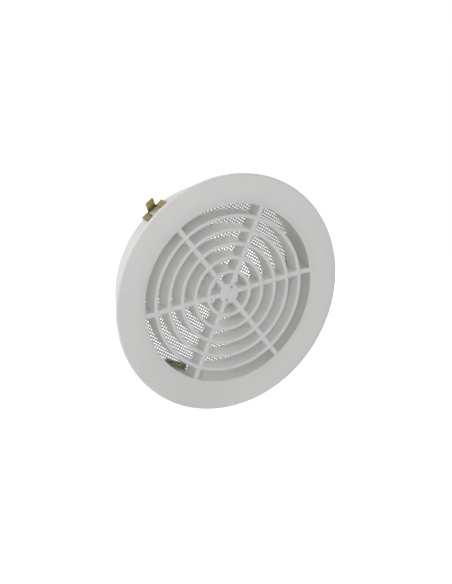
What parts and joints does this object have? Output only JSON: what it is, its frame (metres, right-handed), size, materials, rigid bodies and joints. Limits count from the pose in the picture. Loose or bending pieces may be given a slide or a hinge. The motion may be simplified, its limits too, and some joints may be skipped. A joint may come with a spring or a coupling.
{
  "type": "round vent grille",
  "caption": "Round plastic vent grille: flat flange, concentric ring louvre on spokes, push-in collar, insect mesh behind and folded spring clips that grip the duct.",
  "frame": {"origin": "on the duct axis, in the plane of the flange's back face, which lies on the wall", "axes": "+Y along the collar into the duct, -Y out of the grille's face, +Z to 12 o'clock on the face, +X to 3 o'clock seen from the front"},
  "size_m": [0.14, 0.0289, 0.14],
  "materials": {
    "plastic": "satin",
    "mesh": "matt",
    "zinc_plate": "yellow passivated zinc"
  },
  "bodies": {
    "root": {"grille_body": "plastic", "insect_mesh": "mesh", "spring_clip_upper_right": "zinc_plate", "spring_clip_bottom": "zinc_plate", "spring_clip_upper_left": "zinc_plate"}
  },
  "joints": []
}
